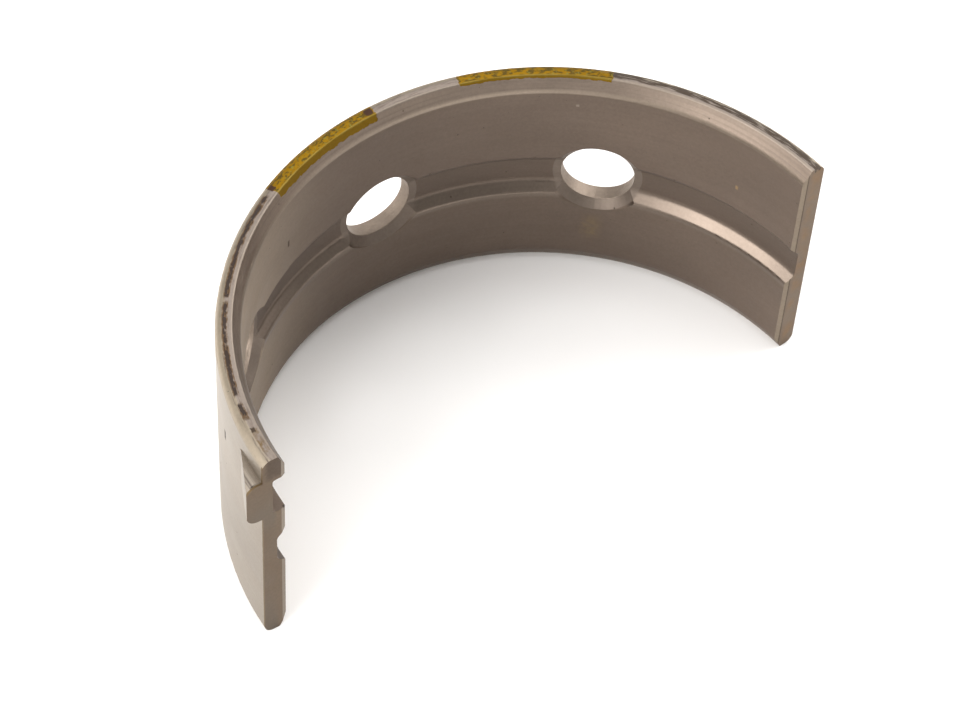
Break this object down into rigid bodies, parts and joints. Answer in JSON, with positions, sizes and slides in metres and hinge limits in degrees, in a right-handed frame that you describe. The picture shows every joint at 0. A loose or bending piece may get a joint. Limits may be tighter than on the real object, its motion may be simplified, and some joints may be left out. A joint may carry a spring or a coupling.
{
  "type": "engine bearing shell",
  "caption": "Half-round plain bearing shell with an oil groove, oil holes, chamfered edges and a pressed locating lug, for a crankshaft journal.",
  "frame": {"origin": "on the journal axis at mid width", "axes": "+Z along the journal axis, +Y towards the crown of the arc, -X towards the parting face with the locating lug"},
  "size_m": [0.0413, 0.0192, 0.017],
  "materials": {
    "plated_shell": "satin tin plate, greige, with handling wear"
  },
  "bodies": {
    "root": {"bearing_shell": "plated_shell"}
  },
  "joints": []
}
